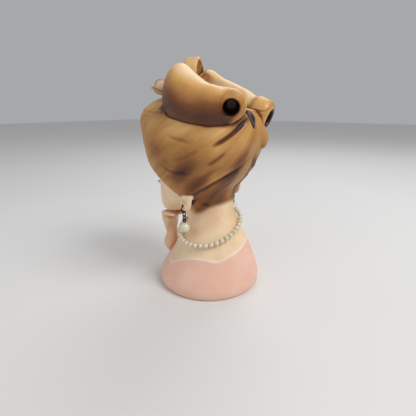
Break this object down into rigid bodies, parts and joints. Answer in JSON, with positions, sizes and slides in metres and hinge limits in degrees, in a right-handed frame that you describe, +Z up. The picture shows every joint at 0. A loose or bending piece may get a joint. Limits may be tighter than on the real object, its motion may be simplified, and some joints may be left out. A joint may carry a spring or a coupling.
{
  "type": "head planter",
  "caption": "Hollow ceramic lady-head planter with an open top between rolled hair, a strung bead necklace and drop earrings on chains.",
  "frame": {"origin": "middle of the round foot, on the surface that the planter stands on", "axes": "+Z up, the face looks along -Y, +X is the lady's left"},
  "size_m": [0.0908, 0.0982, 0.1772],
  "materials": {
    "painted_ceramic": "satin",
    "hair_glaze": "satin",
    "petal_glaze": "satin",
    "leaf_glaze": "satin",
    "skin_glaze": "satin",
    "lash_fibre": "matt",
    "imitation_pearl": "pearlescent",
    "thread": "matt",
    "dark_wire": "aged dark"
  },
  "bodies": {
    "planter": {"body_shell": "painted_ceramic", "left_hair_roll": "hair_glaze", "right_hair_roll": "hair_glaze", "crown_curl": "hair_glaze", "flower_bloom": "petal_glaze", "flower_heart": "petal_glaze", "flower_leaves": "leaf_glaze", "hand": "skin_glaze", "left_lash": "lash_fibre", "right_lash": "lash_fibre"},
    "necklace": {"necklace_beads": "imitation_pearl", "necklace_thread": "thread", "necklace_knot": "thread"},
    "left_ring": {"left_ear_ring": "dark_wire"},
    "left_upper": {"left_upper_link": "dark_wire"},
    "left_lower": {"left_lower_link": "dark_wire"},
    "left_drop": {"left_eye_pin": "dark_wire", "left_pearl": "imitation_pearl"},
    "right_ring": {"right_ear_ring": "dark_wire"},
    "right_upper": {"right_upper_link": "dark_wire"},
    "right_lower": {"right_lower_link": "dark_wire"},
    "right_drop": {"right_eye_pin": "dark_wire", "right_pearl": "imitation_pearl"}
  },
  "joints": [
    {"name": "necklace_turn", "type": "hinge", "parent": "planter", "child": "necklace", "pos_m": [0, 0.0036, 0.0515], "axis": [0, 0, 1], "range_deg": [-15, 15]},
    {"name": "left_ring_swing", "type": "hinge", "parent": "planter", "child": "left_ring", "pos_m": [0.0325, 0.0016, 0.0722], "axis": [1, 0, 0], "range_deg": [-25, 10]},
    {"name": "left_upper_link_swing", "type": "hinge", "parent": "left_ring", "child": "left_upper", "pos_m": [0.0325, 0.0016, 0.06645], "axis": [1, 0, 0], "range_deg": [-15, 15]},
    {"name": "left_lower_link_swing", "type": "hinge", "parent": "left_upper", "child": "left_lower", "pos_m": [0.0325, 0.0016, 0.0636], "axis": [0, -1, 0], "range_deg": [-4, 30]},
    {"name": "left_drop_swing", "type": "hinge", "parent": "left_lower", "child": "left_drop", "pos_m": [0.0325, 0.0016, 0.06075], "axis": [1, 0, 0], "range_deg": [-15, 15]},
    {"name": "right_ring_swing", "type": "hinge", "parent": "planter", "child": "right_ring", "pos_m": [-0.0325, 0.0016, 0.0722], "axis": [1, 0, 0], "range_deg": [-25, 10]},
    {"name": "right_upper_link_swing", "type": "hinge", "parent": "right_ring", "child": "right_upper", "pos_m": [-0.0325, 0.0016, 0.06645], "axis": [1, 0, 0], "range_deg": [-15, 15]},
    {"name": "right_lower_link_swing", "type": "hinge", "parent": "right_upper", "child": "right_lower", "pos_m": [-0.0325, 0.0016, 0.0636], "axis": [0, 1, 0], "range_deg": [-4, 30]},
    {"name": "right_drop_swing", "type": "hinge", "parent": "right_lower", "child": "right_drop", "pos_m": [-0.0325, 0.0016, 0.06075], "axis": [1, 0, 0], "range_deg": [-15, 15]}
  ]
}
